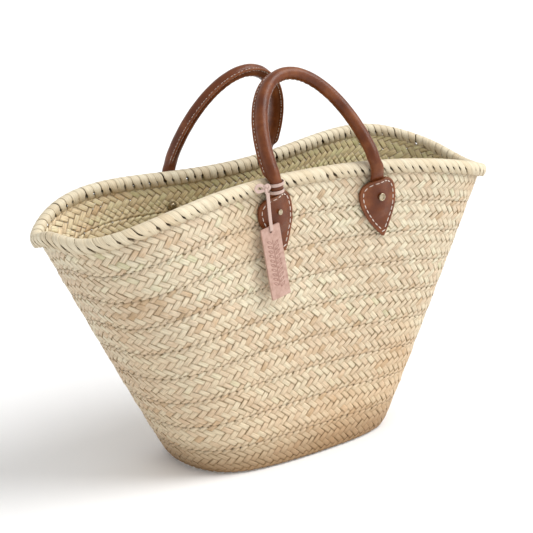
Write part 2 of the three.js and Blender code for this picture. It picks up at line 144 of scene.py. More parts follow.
def finishWith(piece, kind, **settings):
    selectOnly(piece)
    modifier = piece.modifiers.new(kind.lower(), kind)
    for key, value in settings.items():
        setattr(modifier, key, value)
    bpy.ops.object.modifier_apply(modifier=modifier.name)


def bevelEdges(piece, width, degrees):
    finishWith(
        piece, "BEVEL", width=width / 1000, segments=2, limit_method="ANGLE", angle_limit=math.radians(degrees))


def layUv(piece, along, across):
    layer = piece.data.uv_layers.active or piece.data.uv_layers.new(name="UVMap")
    corners = np.empty(len(piece.data.loops), dtype=np.int32)
    piece.data.loops.foreach_get("vertex_index", corners)
    layer.data.foreach_set("uv", np.stack([along[corners], across[corners]], 1).ravel())


def layValue(piece, name, values):
    layer = piece.data.attributes.new(name, "FLOAT", "POINT")
    layer.data.foreach_set("value", np.asarray(values, dtype=np.float32))


def smooth(piece, degrees=None):
    selectOnly(piece)
    if degrees is None:
        bpy.ops.object.shade_smooth()
    else:
        bpy.ops.object.shade_smooth_by_angle(angle=math.radians(degrees))


def closeUp(piece, fill=True):
    selectOnly(piece)
    bpy.ops.object.mode_set(mode="EDIT")
    bpy.ops.mesh.select_all(action="SELECT")
    bpy.ops.mesh.remove_doubles(threshold=0.00001)
    if fill:
        bpy.ops.mesh.fill_holes(sides=0)
    bpy.ops.mesh.normals_make_consistent(inside=False)
    bpy.ops.object.mode_set(mode="OBJECT")


def unit(vectors):
    return vectors / np.linalg.norm(vectors, axis=-1, keepdims=True)


def easeStep(value):
    value = np.clip(value, 0, 1)
    return value * value * (3 - 2 * value)


# Gives a finished piece its material, its body and the nodes that it stands for
def hand(piece, material, slot, body, *nodes):
    piece.data.materials.clear()
    piece.data.materials.append(material)
    if body:
        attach(piece, body)
    if nodes:
        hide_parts(*nodes)


def mouthAt(phi):
    c, s = (lambda n: np.cos(n * phi)), (lambda n: np.sin(n * phi))
    waver = 0
    for i, rise in enumerate(rimWaver):
        away = phi - i * turn / len(rimWaver)
        waver = waver + rise * np.exp(-(np.arctan2(np.sin(away), np.cos(away)) / waverSpread) ** 2)
    third, second = mouth["endWaves"]
    x = mouth["halfLength"] * (c(1) + third * c(3)) / (1 + third) + second * c(2)
    third, fifth, second, first = mouth["sideWaves"]
    y = mouth["halfWidth"] * (s(1) + third * s(3) + fifth * s(5)) + second * s(2) + first * c(1)
    ends, sixth, third, slant = mouth["heightWaves"]
    z = mouth["height"] + ends * c(2) + sixth * c(6) + third * s(3) + slant * s(2) + waver
    return np.stack([x, y, z], -1)


def outlineAt(phi, share):
    bend = base["squareness"]
    low = np.stack([
        base["halfLength"] * (np.cos(phi) - bend * np.cos(3 * phi)) + base["shift"],
        base["halfWidth"] * (np.sin(phi) + bend * np.sin(3 * phi)),
        0 * phi,
    ], -1)
    high = mouthAt(phi)
    soft = wall["rounding"]
    full = math.hypot(1, soft) - soft
    out = np.sqrt((np.maximum(share, 0) * full + soft) ** 2 - soft**2)[..., None]
    place = low + (high - low) * out
    place[..., 2] = high[..., 2] * share
    return place


def outwardAt(phi, share):
    run = outlineAt(phi + 0.001, share) - outlineAt(phi - 0.001, share)
    return unit(np.stack([run[..., 1], -run[..., 0], 0 * phi], -1))


def wallPoint(phi, share, inwards):
    inset = wall["rimInset"] * share**2 + inwards
    return outlineAt(phi, share) - outwardAt(phi, share) * inset[..., None]


# The wall's outer face straight in front of, or behind, a place given by x and z, found by halving
def facePoint(x, z, side):
    x, z = np.broadcast_arrays(np.asarray(x, float), np.asarray(z, float))
    low = np.full(x.shape, math.pi)
    high = np.full(x.shape, turn if side < 0 else 0.0)
    for _ in range(30):
        middle = (low + high) / 2
        short = wallPoint(middle, z / mouthAt(middle)[..., 2], 0 * z)[..., 0] < x
        low, high = np.where(short, middle, low), np.where(short, high, middle)
    return wallPoint(low, z / mouthAt(low)[..., 2], 0 * z)


# How far along a path each of its points is
def runOf(path):
    return np.concatenate([[0], np.cumsum(np.linalg.norm(np.diff(path, axis=0), axis=1))])


# Angles evenly spread along a closed path, which is given at even angles
def evenAngles(shareAround, path):
    run = runOf(path)
    return np.interp(np.mod(shareAround, 1) * run[-1], run, np.linspace(0, turn, len(path)))


# The closed path halfway through the wall at one share of its height
def wallPath(share, inwards=2.0):
    angles = np.linspace(0, turn, wall["ring"])
    return wallPoint(angles, np.full(wall["ring"], share), np.full(wall["ring"], inwards))


def addNode(tree, kind, inputs=None, **settings):
    made = tree.nodes.new(kind)
    for key, value in settings.items():
        setattr(made, key, value)
    for key, value in (inputs or {}).items():
        if isinstance(value, bpy.types.NodeSocket):
            tree.links.new(value, made.inputs[key])
        else:
            made.inputs[key].default_value = value
    return made


# Sockets 6 and 7 of a Mix node take its two colours
def mixColour(tree, factor, first, second, blend="MIX"):
    made = addNode(tree, "ShaderNodeMix", {0: factor, 6: first, 7: second}, data_type="RGBA", blend_type=blend)
    return made.outputs[2]


def maths(tree, operation, first, second, clamp=False):
    made = addNode(tree, "ShaderNodeMath", {0: first, 1: second}, operation=operation, use_clamp=clamp)
    return made.outputs[0]


# A value spread from one range to another; both ranges are low, high
def spread(tree, value, before, after):
    made = addNode(tree, "ShaderNodeMapRange", {0: value, 1: before[0], 2: before[1], 3: after[0], 4: after[1]})
    return made.outputs[0]


def attribute(tree, name):
    return addNode(tree, "ShaderNodeAttribute", attribute_name=name).outputs["Fac"]


def ramp(tree, factor, *stops):
    made = addNode(tree, "ShaderNodeValToRGB", {"Fac": factor})
    marks = made.color_ramp.elements
    while len(marks) < len(stops):
        marks.new(0.5)
    for mark, (place, colour) in zip(marks, stops):
        mark.position = place
        mark.color = (*colour, 1) if isinstance(colour, tuple) else (colour, colour, colour, 1)
    return made.outputs["Color"]


def newGroup(name, takes, gives):
    tree = bpy.data.node_groups.new(name, "ShaderNodeTree")
    for label, kind, value in takes:
        socket = tree.interface.new_socket(label, in_out="INPUT", socket_type="NodeSocket" + kind)
        if value is not None:
            socket.default_value = value
    for label, kind in gives:
        tree.interface.new_socket(label, in_out="OUTPUT", socket_type="NodeSocket" + kind)
    return tree, tree.nodes.new("NodeGroupInput").outputs, tree.nodes.new("NodeGroupOutput").inputs


def fibreGroup():
    tree, takes, gives = newGroup(
        "leafFibre",
        [("Place", "Vector", None), ("Stretch", "Float", 3.0), ("Ribs", "Float", 9.0)],
        [("Streaks", "Float"), ("Blotches", "Float")],
    )
    parts = addNode(tree, "ShaderNodeSeparateXYZ", {0: takes["Place"]}).outputs
    ribs = addNode(tree, "ShaderNodeCombineXYZ", {
        0: maths(tree, "MULTIPLY", parts[0], takes["Stretch"]),
        1: maths(tree, "MULTIPLY", parts[1], takes["Ribs"]),
    }).outputs[0]
    streaks = addNode(tree, "ShaderNodeTexNoise", {
        "Vector": ribs, "Scale": 1.0, "Detail": 3.0, "Roughness": 0.6,
    })
    blotches = addNode(tree, "ShaderNodeTexNoise", {"Vector": takes["Place"], "Scale": 0.7, "Detail": 2.0})
    tree.links.new(streaks.outputs["Fac"], gives["Streaks"])
    tree.links.new(blotches.outputs["Fac"], gives["Blotches"])
    return tree


def leatherGroup():
    tree, takes, gives = newGroup(
        "hideGrain",
        [("Pores", "Float", 900.0), ("Patches", "Float", 45.0)],
        [("Grain", "Float"), ("Patch", "Float")],
    )
    place = addNode(tree, "ShaderNodeTexCoord").outputs["Object"]
    pores = addNode(tree, "ShaderNodeTexVoronoi", {"Vector": place, "Scale": takes["Pores"]}, feature="F1")
    patches = addNode(tree, "ShaderNodeTexNoise", {
        "Vector": place, "Scale": takes["Patches"], "Detail": 5.0, "Roughness": 0.6,
    })
    tree.links.new(pores.outputs["Distance"], gives["Grain"])
    tree.links.new(patches.outputs["Fac"], gives["Patch"])
    return tree


leafFibre = fibreGroup()
hideGrain = leatherGroup()


def newMaterial(name, roughness, **fixed):
    material = bpy.data.materials.new(name)
    material.use_nodes = True
    tree = material.node_tree
    shader = tree.nodes["Principled BSDF"]
    shader.inputs["Roughness"].default_value = roughness
    for label, value in fixed.items():
        shader.inputs[label].default_value = value
    return material, tree, shader.inputs


def bumpFrom(tree, height, strength, distance):
    made = addNode(tree, "ShaderNodeBump", {"Height": height, "Strength": strength, "Distance": distance})
    return made.outputs["Normal"]


# Tones run from the brownest strips through the palest to the greenest; heights here are in metres
palm = dict(
    tones=(
        (0.0, (0.48, 0.34, 0.20)), (0.14, (0.60, 0.44, 0.28)), (0.30, (0.69, 0.55, 0.39)),
        (0.5, (0.72, 0.61, 0.44)), (0.7, (0.77, 0.69, 0.51)), (0.86, (0.70, 0.64, 0.45)),
        (1.0, (0.58, 0.55, 0.34)),
    ),
    rimTones=((0.0, (0.64, 0.50, 0.31)), (0.5, (0.77, 0.66, 0.47)), (1.0, (0.85, 0.77, 0.58))),
    ribs=4.0, rimRibs=14.0, stretch=0.35, blotchShift=0.5, streakShade=((0.32, 0.70), (0.6, 1.03)),
    warm=(0.60, 0.38, 0.20), stains=((0.5, 0.0), (0.74, 0.4)), stainScale=7.0, warmBelow=0.2, warmLow=0.36,
    # The lining colours multiply the faces seen from inside: painted light towards the left end and painted
    # shade, olive, towards the middle
    rimWarmShare=0.35, olive=(0.82, 0.81, 0.60), pale=(1.38, 1.35, 1.28), paleFrom=-0.24, paleTo=-0.04,
    # The foot colour is a painted shadow, darkest where the wall meets the floor
    foot=(0.26, 0.145, 0.06), footHeight=0.045, footShare=0.95, crevice=(0.24, 0.15, 0.055), creviceShare=0.85,
    # The crevice colour is painted shade, laid where the strips dive under each other, along their edges and in
    # the seam holes
    roughness=(0.48, 0.7),
)


def palmMaterial(name, tones, ribs, warmShare):
    material, tree, shader = newMaterial(name, 0.55, **{"Specular IOR Level": 0.35})
    strip = addNode(tree, "ShaderNodeUVMap", uv_map="UVMap").outputs[0]
    fibre = addNode(tree, "ShaderNodeGroup", {
        "Place": strip, "Stretch": palm["stretch"], "Ribs": ribs,
    }, node_tree=leafFibre)
    streaks, blotches = fibre.outputs["Streaks"], fibre.outputs["Blotches"]
    blotches = maths(tree, "MULTIPLY", maths(tree, "SUBTRACT", blotches, 0.5), palm["blotchShift"])
    colour = ramp(tree, maths(tree, "ADD", attribute(tree, "tone"), blotches), *tones)
    colour = mixColour(tree, 1.0, colour, ramp(tree, streaks, *palm["streakShade"]), "MULTIPLY")

    place = addNode(tree, "ShaderNodeTexCoord").outputs["Object"]
    side, _, height = addNode(tree, "ShaderNodeSeparateXYZ", {0: place}).outputs
    stain = addNode(tree, "ShaderNodeTexNoise", {"Vector": place, "Scale": palm["stainScale"], "Detail": 3.0})
    stain = ramp(tree, stain.outputs["Fac"], *palm["stains"])
    low = spread(tree, height, (0.0, palm["warmBelow"]), (palm["warmLow"], 0.0))
    warm = maths(tree, "MULTIPLY", maths(tree, "ADD", stain, low), warmShare)
    colour = mixColour(tree, warm, colour, (*palm["warm"], 1))

    # Painted light and shade inside the basket, running along its length from the left end to the middle
    liningShadeShare = spread(tree, side, (palm["paleFrom"], palm["paleTo"]), (0.0, 1.0))
    liningLightAndShade = mixColour(tree, liningShadeShare, (*palm["pale"], 1), (*palm["olive"], 1))
    colour = mixColour(tree, attribute(tree, "inside"), colour, liningLightAndShade, "MULTIPLY")
    # Painted shadow along the floor: the lowest 45 mm of the wall turn nearly brown-black
    foot = spread(tree, height, (0.0, palm["footHeight"]), (palm["footShare"], 0.0))
    colour = mixColour(tree, foot, colour, (*palm["foot"], 1))
    # Painted shade: the crevice value darkens the strips towards a dark brown where shade would fall between
    # them
    depth = maths(tree, "MULTIPLY", attribute(tree, "crevice"), palm["creviceShare"], True)
    colour = mixColour(tree, depth, colour, (*palm["crevice"], 1))
    tree.links.new(colour, shader["Base Color"])
    tree.links.new(spread(tree, streaks, (0.0, 1.0), palm["roughness"]), shader["Roughness"])
    tree.links.new(bumpFrom(tree, streaks, 0.35, 0.0006), shader["Normal"])
    return material


def leatherMaterial(name, dark, middle, light, roughness, shine, pores=900.0, patches=45.0, crease=0.35):
    material, tree, shader = newMaterial(name, roughness, **{"Specular IOR Level": shine})
    hide = addNode(tree, "ShaderNodeGroup", {"Pores": pores, "Patches": patches}, node_tree=hideGrain)
    colour = ramp(tree, hide.outputs["Patch"], (0.3, dark), (0.5, middle), (0.72, light))
    colour = mixColour(tree, attribute(tree, "worn"), colour, (*light, 1))
    pressed = maths(tree, "MULTIPLY", attribute(tree, "pressed"), 0.6)
    colour = mixColour(tree, pressed, colour, (*dark, 1), "MULTIPLY")
    tree.links.new(colour, shader["Base Color"])
    rough = spread(tree, hide.outputs["Patch"], (0.0, 1.0), (roughness - 0.08, roughness + 0.12))
    tree.links.new(rough, shader["Roughness"])
    relief = maths(tree, "ADD", maths(tree, "MULTIPLY", hide.outputs["Grain"], 0.6), hide.outputs["Patch"])
    tree.links.new(bumpFrom(tree, relief, crease, 0.0008), shader["Normal"])
    return material


def threadMaterial(name, colour, shade, ply):
    material, tree, shader = newMaterial(name, 0.75, **{"Sheen Weight": 0.15})
    strip = addNode(tree, "ShaderNodeUVMap", uv_map="UVMap").outputs[0]
    fibre = addNode(tree, "ShaderNodeGroup", {"Place": strip, "Stretch": ply, "Ribs": 6.0}, node_tree=leafFibre)
    streaks = fibre.outputs["Streaks"]
    tree.links.new(mixColour(tree, streaks, (*shade, 1), (*colour, 1)), shader["Base Color"])
    tree.links.new(bumpFrom(tree, streaks, 0.5, 0.0004), shader["Normal"])
    return material


def metalMaterial(name):
    material, tree, shader = newMaterial(name, 0.3, Metallic=1.0)
    place = addNode(tree, "ShaderNodeTexCoord").outputs["Object"]
    wear = addNode(tree, "ShaderNodeTexNoise", {"Vector": place, "Scale": 700.0, "Detail": 4.0}).outputs["Fac"]
    tree.links.new(ramp(tree, wear, (0.3, (0.34, 0.27, 0.17)), (0.7, (0.60, 0.52, 0.38))), shader["Base Color"])
    tree.links.new(spread(tree, wear, (0.0, 1.0), (0.18, 0.45)), shader["Roughness"])
    return material


# For the plain solids of rope that are only glimpsed
def ropeMaterial(name, colour, shade, scale):
    material, tree, shader = newMaterial(name, 0.85)
    place = addNode(tree, "ShaderNodeTexCoord").outputs["Object"]
    twist = addNode(tree, "ShaderNodeTexWave", {
        "Vector": place, "Scale": scale, "Distortion": 3.0, "Detail": 2.0,
    })
    tree.links.new(mixColour(tree, twist.outputs["Fac"], (*shade, 1), (*colour, 1)), shader["Base Color"])
    tree.links.new(bumpFrom(tree, twist.outputs["Fac"], 0.6, 0.0006), shader["Normal"])
    return material


plaitPalm = palmMaterial("plaitPalm", palm["tones"], palm["ribs"], 1.0)
rimPalm = palmMaterial("rimPalm", palm["rimTones"], palm["rimRibs"], palm["rimWarmShare"])
leather = leatherMaterial(
    "brownLeather", (0.092, 0.020, 0.004), (0.137, 0.033, 0.0065), (0.235, 0.074, 0.021), 0.33, 0.33,
)
tagLeather = leatherMaterial(
    "pinkLeather", (0.40, 0.24, 0.19), (0.50, 0.32, 0.26), (0.58, 0.39, 0.325), 0.6, 0.25,
    pores=1400.0, patches=160.0, crease=0.25,
)
ribbonCloth = threadMaterial("pinkRibbon", (0.62, 0.46, 0.40), (0.46, 0.32, 0.27), 30.0)
stitchThread = threadMaterial("waxedThread", (0.86, 0.76, 0.68), (0.62, 0.50, 0.42), 8.0)
rivetMetal = metalMaterial("rivetMetal")
palmCord = ropeMaterial("palmCord", (0.34, 0.25, 0.12), (0.14, 0.09, 0.04), 900.0)
coreRope = ropeMaterial("coreRope", (0.20, 0.13, 0.06), (0.08, 0.05, 0.02), 500.0)
print("materials made")


# The free cord is the ribbon's hanging strand, from the knot to the tag's hole
strand = dict(width=4.5, thickness=0.9, steps=36, sideSteps=4, twist=0.06, curl=-0.2)
strandRoute = np.array([
    (-82.8, -92.9, 313.9), (-81.5, -92.6, 302), (-79.6, -91.8, 288), (-77, -90.9, 272.2),
])
tag = dict(
    width=25, length=80, thickness=2, holeDrop=6, holeRadius=1.5, slant=10, corner=0.8, press=0.5, bend=0.2,
    holeX=-77, faceY=-87.5, holeZ=271, columns=56, rows=176, bevel=0.3,
)
sprig = dict(top=14, bottom=68, stem=0.5, firstLeaf=17, lastLeaf=66, leafPitch=5.2, leafOut=4.2, stagger=2.6)


# A smooth path through a few points, at even shares of its way
def throughPoints(route, count):
    ends = np.vstack([2 * route[0] - route[1], route, 2 * route[-1] - route[-2]])
    path = []
    for share in np.linspace(0, len(route) - 1, count):
        i = min(int(share), len(route) - 2)
        t = share - i
        a, b, c, d = ends[i:i + 4]
        square, cube = 2 * a - 5 * b + 4 * c - d, 3 * b - a - 3 * c + d
        path.append(0.5 * (2 * b + (c - a) * t + square * t**2 + cube * t**3))
    return np.array(path)


# Facing is the way the ribbon's face looks, one for each point of its path or one for all
def flatRibbon(name, path, facing, width, thickness, twist=0.0, curl=0.0):
    piece = newGrid(name, strand["sideSteps"], len(path) - 1)
    across, along = gridShares(piece)
    i = np.rint(along * (len(path) - 1)).astype(int)
    run = unit(np.gradient(path, axis=0))
    side = unit(np.cross(run, np.broadcast_to(facing, path.shape)))
    out = np.cross(side, run)
    angle = (twist * np.linspace(-1, 1, len(path)))[:, None]
    side, out = side * np.cos(angle) + out * np.sin(angle), out * np.cos(angle) - side * np.sin(angle)
    reach = (across - 0.5) * width
    sag = curl * (2 * across - 1) ** 2
    layPoints(piece, path[i] + side[i] * reach[:, None] + out[i] * sag[:, None])
    layUv(piece, along * len(path) * 0.1, across)
    finishWith(piece, "SOLIDIFY", thickness=thickness / 1000, offset=0)
    finishWith(piece, "SUBSURF", levels=1, render_levels=1)
    smooth(piece)
    return piece


strandPath = throughPoints(strandRoute, strand["steps"])
tagStrand = flatRibbon(
    "tagStrand", strandPath, (0, -1, 0), strand["width"], strand["thickness"], strand["twist"], strand["curl"],
)
hand(tagStrand, ribbonCloth, "ribbon", "tag_ribbon", "tag_cord")
print("tag's cord made")


# How deep the tag's plain sprig is pressed at a place on its face, from 0 to 1
def tagCarving(across, down):
    depth = np.exp(-((across / sprig["stem"]) ** 2))
    depth = depth * easeStep((down - sprig["top"]) / 2) * easeStep((sprig["bottom"] - down) / 2)
    for start in np.arange(sprig["firstLeaf"], sprig["lastLeaf"], sprig["leafPitch"]):
        for side in (-1, 1):
            x = side * across - sprig["leafOut"]
            y = down - start - sprig["stagger"] * (side > 0)
            x, y = x * 0.82 - y * 0.57, x * 0.57 + y * 0.82  # leaves slant up by 35 degrees
            leafEdge = np.sqrt((x / 3.6) ** 2 + (y / 1.25) ** 2)
            depth = np.maximum(depth, np.exp(-(((leafEdge - 0.85) / 0.28) ** 2)))
    return depth


def makeTag():
    piece = newGrid("hangTag", tag["columns"], tag["rows"])
    across, along = gridShares(piece)
    half, corner = tag["width"] / 2, tag["corner"]
    x = (across - 0.5) * tag["width"]
    y = tag["holeDrop"] - (1 - along) * tag["length"]
    middle = tag["holeDrop"] - tag["length"] / 2
    dx = np.maximum(np.abs(x) - (half - corner), 0)
    dy = np.maximum(np.abs(y - middle) - (tag["length"] / 2 - corner), 0)
    over = np.maximum(np.hypot(dx, dy) / corner, 1)
    x = x - np.sign(x) * (dx - dx / over)
    y = y - np.sign(y - middle) * (dy - dy / over)
    bend = tag["bend"] * ((y - middle) / (tag["length"] / 2)) ** 2
    lean = math.radians(tag["slant"])
    carving = tagCarving(x, tag["holeDrop"] - y)
    press = carving * tag["press"] - bend
    layPoints(piece, np.stack([
        tag["holeX"] + x * math.cos(lean) - y * math.sin(lean),
        tag["faceY"] - tag["thickness"] + press,
        tag["holeZ"] + x * math.sin(lean) + y * math.cos(lean),
    ], -1))
    layUv(piece, along, across)
    layValue(piece, "pressed", carving)
    finishWith(piece, "SOLIDIFY", thickness=tag["thickness"] / 1000, offset=-1)
    selectNone()
    bpy.ops.mesh.primitive_cylinder_add(vertices=32, radius=tag["holeRadius"] / 1000, depth=0.02)
    drill = bpy.context.object
    spot = np.array([tag["holeX"], tag["faceY"], tag["holeZ"]]) + centring
    drill.matrix_world = Matrix.Translation(Vector(spot / 1000)) @ Matrix.Rotation(math.pi / 2, 4, "X")
    bpy.context.view_layer.update()
    finishWith(piece, "BOOLEAN", object=drill, operation="DIFFERENCE", solver="EXACT")
    bpy.data.objects.remove(drill)
    bevelEdges(piece, tag["bevel"], 50)
    smooth(piece, 40)
    return piece


hangTag = makeTag()
hand(hangTag, tagLeather, "tag_leather", "tag", "hang_tag")
print("tag made")


# A strip's own course is counted in strip widths from its start: where it crosses, and where it folds
plait = dict(
    seed=11, rows=4.5, pitch=9.3, first=3.0, last=21.0, crossings=(4, 6, 8, 9.5, 11, 13, 15, 17, 18.5, 20),
    folds=(9.5, 18.5), foldReach=1.5, ease=0.3, easeLevel=0.88, stations=(0.0, 0.2, 0.8, 1.0),
    swing=0.75, push=0.18, dome=0.3, thickness=0.95, bulge=0.6, notch=0.5, notchSharpness=2.4, lap=0.85,
    fill=1.0, loose=0.035, gapShare=0.2, gap=0.2, wander=0.045,
    # risingShade is painted shade and light: it tones the strips of one slant darker on the outside and lighter
    # on the inside
    tone=0.52, toneSpread=0.13, toneDrift=0.07, bandSpread=0.05, toneEnds=(0.06, 0.96), risingShade=0.1,
    # The next settings size the painted shade at the float ends, along the strip edges and in the holes at the
    # folds
    endShade=0.34, edgeShade=(0.1, 0.72), darkShare=0.3, holeReach=0.55,
)


# Stations along a strip, and how far it lies above (1) or below (-1) the others there
def stripRows():
    marks, levels, level, last = [plait["first"]], [-1.0], -1.0, plait["first"]
    for i, crossing in enumerate(plait["crossings"]):
        if i:
            marks.append((last + crossing) / 2)
            levels.append(level)
        ease = plait["ease"]
        marks += [crossing - ease, crossing, crossing + ease]
        levels += [plait["easeLevel"] * level, 0.0, -plait["easeLevel"] * level]
        level, last = -level, crossing
    return np.array(marks + [plait["last"]]), np.array(levels + [level])


stripAlong, stripLevel = stripRows()


# A grid repeated side by side: each point's own copy, its row along the copy and its station across it
def newStrips(name, rows, stations, count):
    piece = newGrid(name, rows - 1, stations - 1)
    finishWith(
        piece, "ARRAY", count=count, use_relative_offset=False, use_constant_offset=True,
        constant_offset_displace=(0, 3, 0),
    )
    points = pointsOf(piece)
    i = np.floor((points[:, 1] + 1.5) / 3).astype(int)
    row = np.rint((points[:, 0] + 1) / 2 * (rows - 1)).astype(int)
    station = np.rint((points[:, 1] - 3 * i + 1) / 2 * (stations - 1)).astype(int)
    return piece, i, row, station


# A band of plait whose strips run slantwise over two and under two and fold back at both edges;
# place(shareAround, shareAcross, lift) gives the points
def weave(name, length, place, seed):
    count = round(length / plait["pitch"])
    rng = np.random.default_rng(seed)
    piece, i, row, station = newStrips(name, len(stripAlong), len(plait["stations"]), count)
    across = np.array(plait["stations"])[station]
    middle = (station == 1) | (station == 2)
    mark, level = stripAlong[row], stripLevel[row]

    fill = plait["fill"] - np.abs(rng.normal(0, plait["loose"], count))
    fill = fill - plait["gap"] * rng.random(count) * (rng.random(count) < plait["gapShare"])
    shift = rng.normal(0, plait["wander"], count)
    push = rng.normal(0, plait["push"], (count, len(stripAlong)))
    paleEdge, darkEdge = plait["edgeShade"]
    edgeShade = np.where(rng.random((count, 2)) < plait["darkShare"], darkEdge, paleEdge)
    drift = plait["toneDrift"] * np.sin(np.arange(count) * 0.21 + seed) + rng.normal(0, plait["bandSpread"])
    tone = np.clip(rng.normal(plait["tone"], plait["toneSpread"], count) + drift, *plait["toneEnds"])

    rows = plait["rows"]
    skew = sum(easeStep(1 - np.abs(mark - fold) / plait["foldReach"]) for fold in plait["folds"])
    c = mark + (across - 0.5) * skew
    p = 0.5 + shift[i] + (across - 0.5) * fill[i]
    run = np.mod((c - p) / 2, 2 * rows)
    rising = run < rows
    high = np.where(rising, run, 2 * rows - run)
    notch = plait["notch"] * np.abs(2 * across - 1) ** plait["notchSharpness"]
    high = np.clip(high, notch, rows - notch)
    around = i + (p + c) / 2
    lift = level * plait["swing"] + push[i, row] * np.abs(level)
    lift = lift + level * plait["dome"] * middle
    lift = lift + plait["bulge"] * (0.5 - ((high - rows / 2) / (rows / 2)) ** 2)
    layPoints(piece, place(around / count, high / rows, lift))

    layUv(piece, mark + i * 7.3, across)
    # Painted shade and light: strips of one slant are toned darker where they lie outermost and lighter where
    # they lie innermost
    layValue(piece, "tone", tone[i] - plait["risingShade"] * rising * level)
    # Painted shade at the float ends, along the strip edges and in the holes at the folds, passed on as the
    # crevice value
    shade = plait["endShade"] * (1 - np.abs(level))
    hole = sum(np.exp(-(((mark - fold) / plait["holeReach"]) ** 2)) for fold in plait["folds"])
    side = np.maximum(edgeShade[i, rising.astype(int)], hole)
    layValue(piece, "crevice", np.maximum(shade, np.where(middle, 0, side)))
    layValue(piece, "inside", np.clip(-level, 0, 1))
    finishWith(piece, "SOLIDIFY", thickness=plait["thickness"] / 1000, offset=0)
    smooth(piece)
    return piece


def seamShare(i):
    return i / wall["turns"] * (1 - wall["topDrop"] / mouth["height"])


def wallBand(i):
    lap = plait["lap"] / mouth["height"]
    low = seamShare(i) - lap if i else wall["firstShare"]
    high = seamShare(i + 1) + (wall["topLap"] * lap if i == wall["turns"] - 1 else lap)
    path = wallPath((low + high) / 2)

    def place(around, across, lift):
        angle = evenAngles(around, path)
        return wallPoint(angle, low + (high - low) * across, wall["thickness"] / 2 - lift)

    piece = weave(f"wallTurn{i + 1}", runOf(path)[-1], place, plait["seed"] + i)
    hand(piece, plaitPalm, "palm_leaf", "basket", f"wall_turn_{i + 1}")


for i in range(wall["turns"]):
    wallBand(i)
print("wall plaited")


# The thin cord that laces each turn's folds to the next
lacing = dict(radius=0.95, sway=1.7, dip=0.35, steps=8, sides=6)


def laceSeam(i):
    share = seamShare(i)
    path = wallPath(share)
    waves = round(runOf(path)[-1] / plait["pitch"] / 2)
    piece = newGrid(f"lacing{i}", lacing["sides"], waves * lacing["steps"])
    across, along = gridShares(piece)

    def centre(at):
        sway = lacing["sway"] * np.sin(at * waves * turn)
        dip = lacing["dip"] * np.cos(at * waves * 2 * turn)
        return wallPoint(evenAngles(at, path), share + sway / mouth["height"], wall["thickness"] / 2 + dip)

    run = unit(centre(along + 0.0002) - centre(along - 0.0002))
    out = unit(np.cross(run, [0, 0, 1]))
    angle = across * turn
    ring = out * np.cos(angle)[:, None] + np.cross(run, out) * np.sin(angle)[:, None]
    layPoints(piece, centre(along) + ring * lacing["radius"])
    closeUp(piece, fill=False)
    smooth(piece)
    hand(piece, palmCord, "palm_cord", "basket", f"sewing_cord_{i}")


for i in range(1, wall["turns"]):
    laceSeam(i)
print("turns laced")


# The flat base: two oval turns of the same plait round a short straight start
baseTurns = dict(
    seed=31, count=2, halfStart=62, inset=4.3, middle=2.2, edgeHeight=0.4, gap=0.004, flatness=0.85,
)


def baseBand(i):
    angles = np.linspace(0, turn, wall["ring"])
    edge = wallPath(baseTurns["edgeHeight"] / mouth["height"], baseTurns["inset"])
    start = np.clip(edge[:, 0] * 0.95, -baseTurns["halfStart"], baseTurns["halfStart"])
    outer, inner = 1 - i / baseTurns["count"], 1 - (i + 1) / baseTurns["count"]

    def at(angle, share):
        x = np.interp(angle, angles, start) * (1 - share) + np.interp(angle, angles, edge[:, 0]) * share
        return np.stack([x, np.interp(angle, angles, edge[:, 1]) * share, 0 * angle], -1)

    path = at(angles, np.full(len(angles), (outer + inner) / 2))

    def place(around, across, lift):
        gap = baseTurns["gap"]
        points = at(evenAngles(around, path), inner + gap + (outer - inner - 2 * gap) * (1 - across))
        points[:, 2] = baseTurns["middle"] + lift * baseTurns["flatness"]
        return points

    return weave(f"baseTurn{i + 1}", runOf(path)[-1], place, baseTurns["seed"] + i)


def makeBase():
    bands = [baseBand(i) for i in range(baseTurns["count"])]
    selectOnly(*bands)
    bpy.ops.object.join()
    return named("basePlait")


hand(makeBase(), plaitPalm, "palm_leaf", "basket", "base_plait")
print("base plaited")


# A wrap's way round the roll, from the wall's outer face over the top to its inner face: how far
# outwards and upwards of the roll's middle it lies, and how many wraps it has slid round the rim
wrapWay = (
    (1.7, -8.6, 1.3), (3.0, -7.4, 1.14), (4.1, -5.8, 0.94), (5.1, -4.0, 0.74), (5.8, -2.1, 0.54),
    (6.1, 0.0, 0.34), (5.85, 2.0, 0.17), (5.05, 3.7, 0.03), (3.9, 4.95, -0.08), (2.2, 5.75, -0.17),
    (0.0, 6.05, -0.25), (-2.2, 5.75, -0.31), (-3.9, 4.95, -0.36), (-5.05, 3.7, -0.41),
    (-5.85, 2.0, -0.45), (-6.1, 0.0, -0.5), (-5.8, -2.1, -0.58), (-5.1, -4.0, -0.68),
    (-4.1, -5.8, -0.8), (-3.0, -7.4, -0.92), (-1.7, -8.6, -1.0),
)
rim = dict(
    seed=5, radius=6, inset=5, pitch=9.8, turnSteps=2, stations=(0.0, 0.12, 0.5, 0.88, 1.0), ring=1441,
    thickness=0.6, dome=0.2, lowDome=0.55, tilt=0.25, fill=1.0, loose=0.015, wander=0.04, lean=0.12,
    open=(0.23, 0.06), openEnds=(0.03, 0.4), openAt=-2.9, openReach=2.2, tone=(0.62, 0.13),
    # edgeShade and lowShade set painted shade: along the edges of the wraps and on their lower half under the
    # roll
    edgeShade=0.32, lowShade=0.25,
)


# The middle line of the rolled rim
def rollMiddle(angle):
    out = outwardAt(angle, np.ones(len(angle)))
    middle = mouthAt(angle) - out * rim["inset"]
    middle[:, 2] -= rim["radius"]
    return middle, out


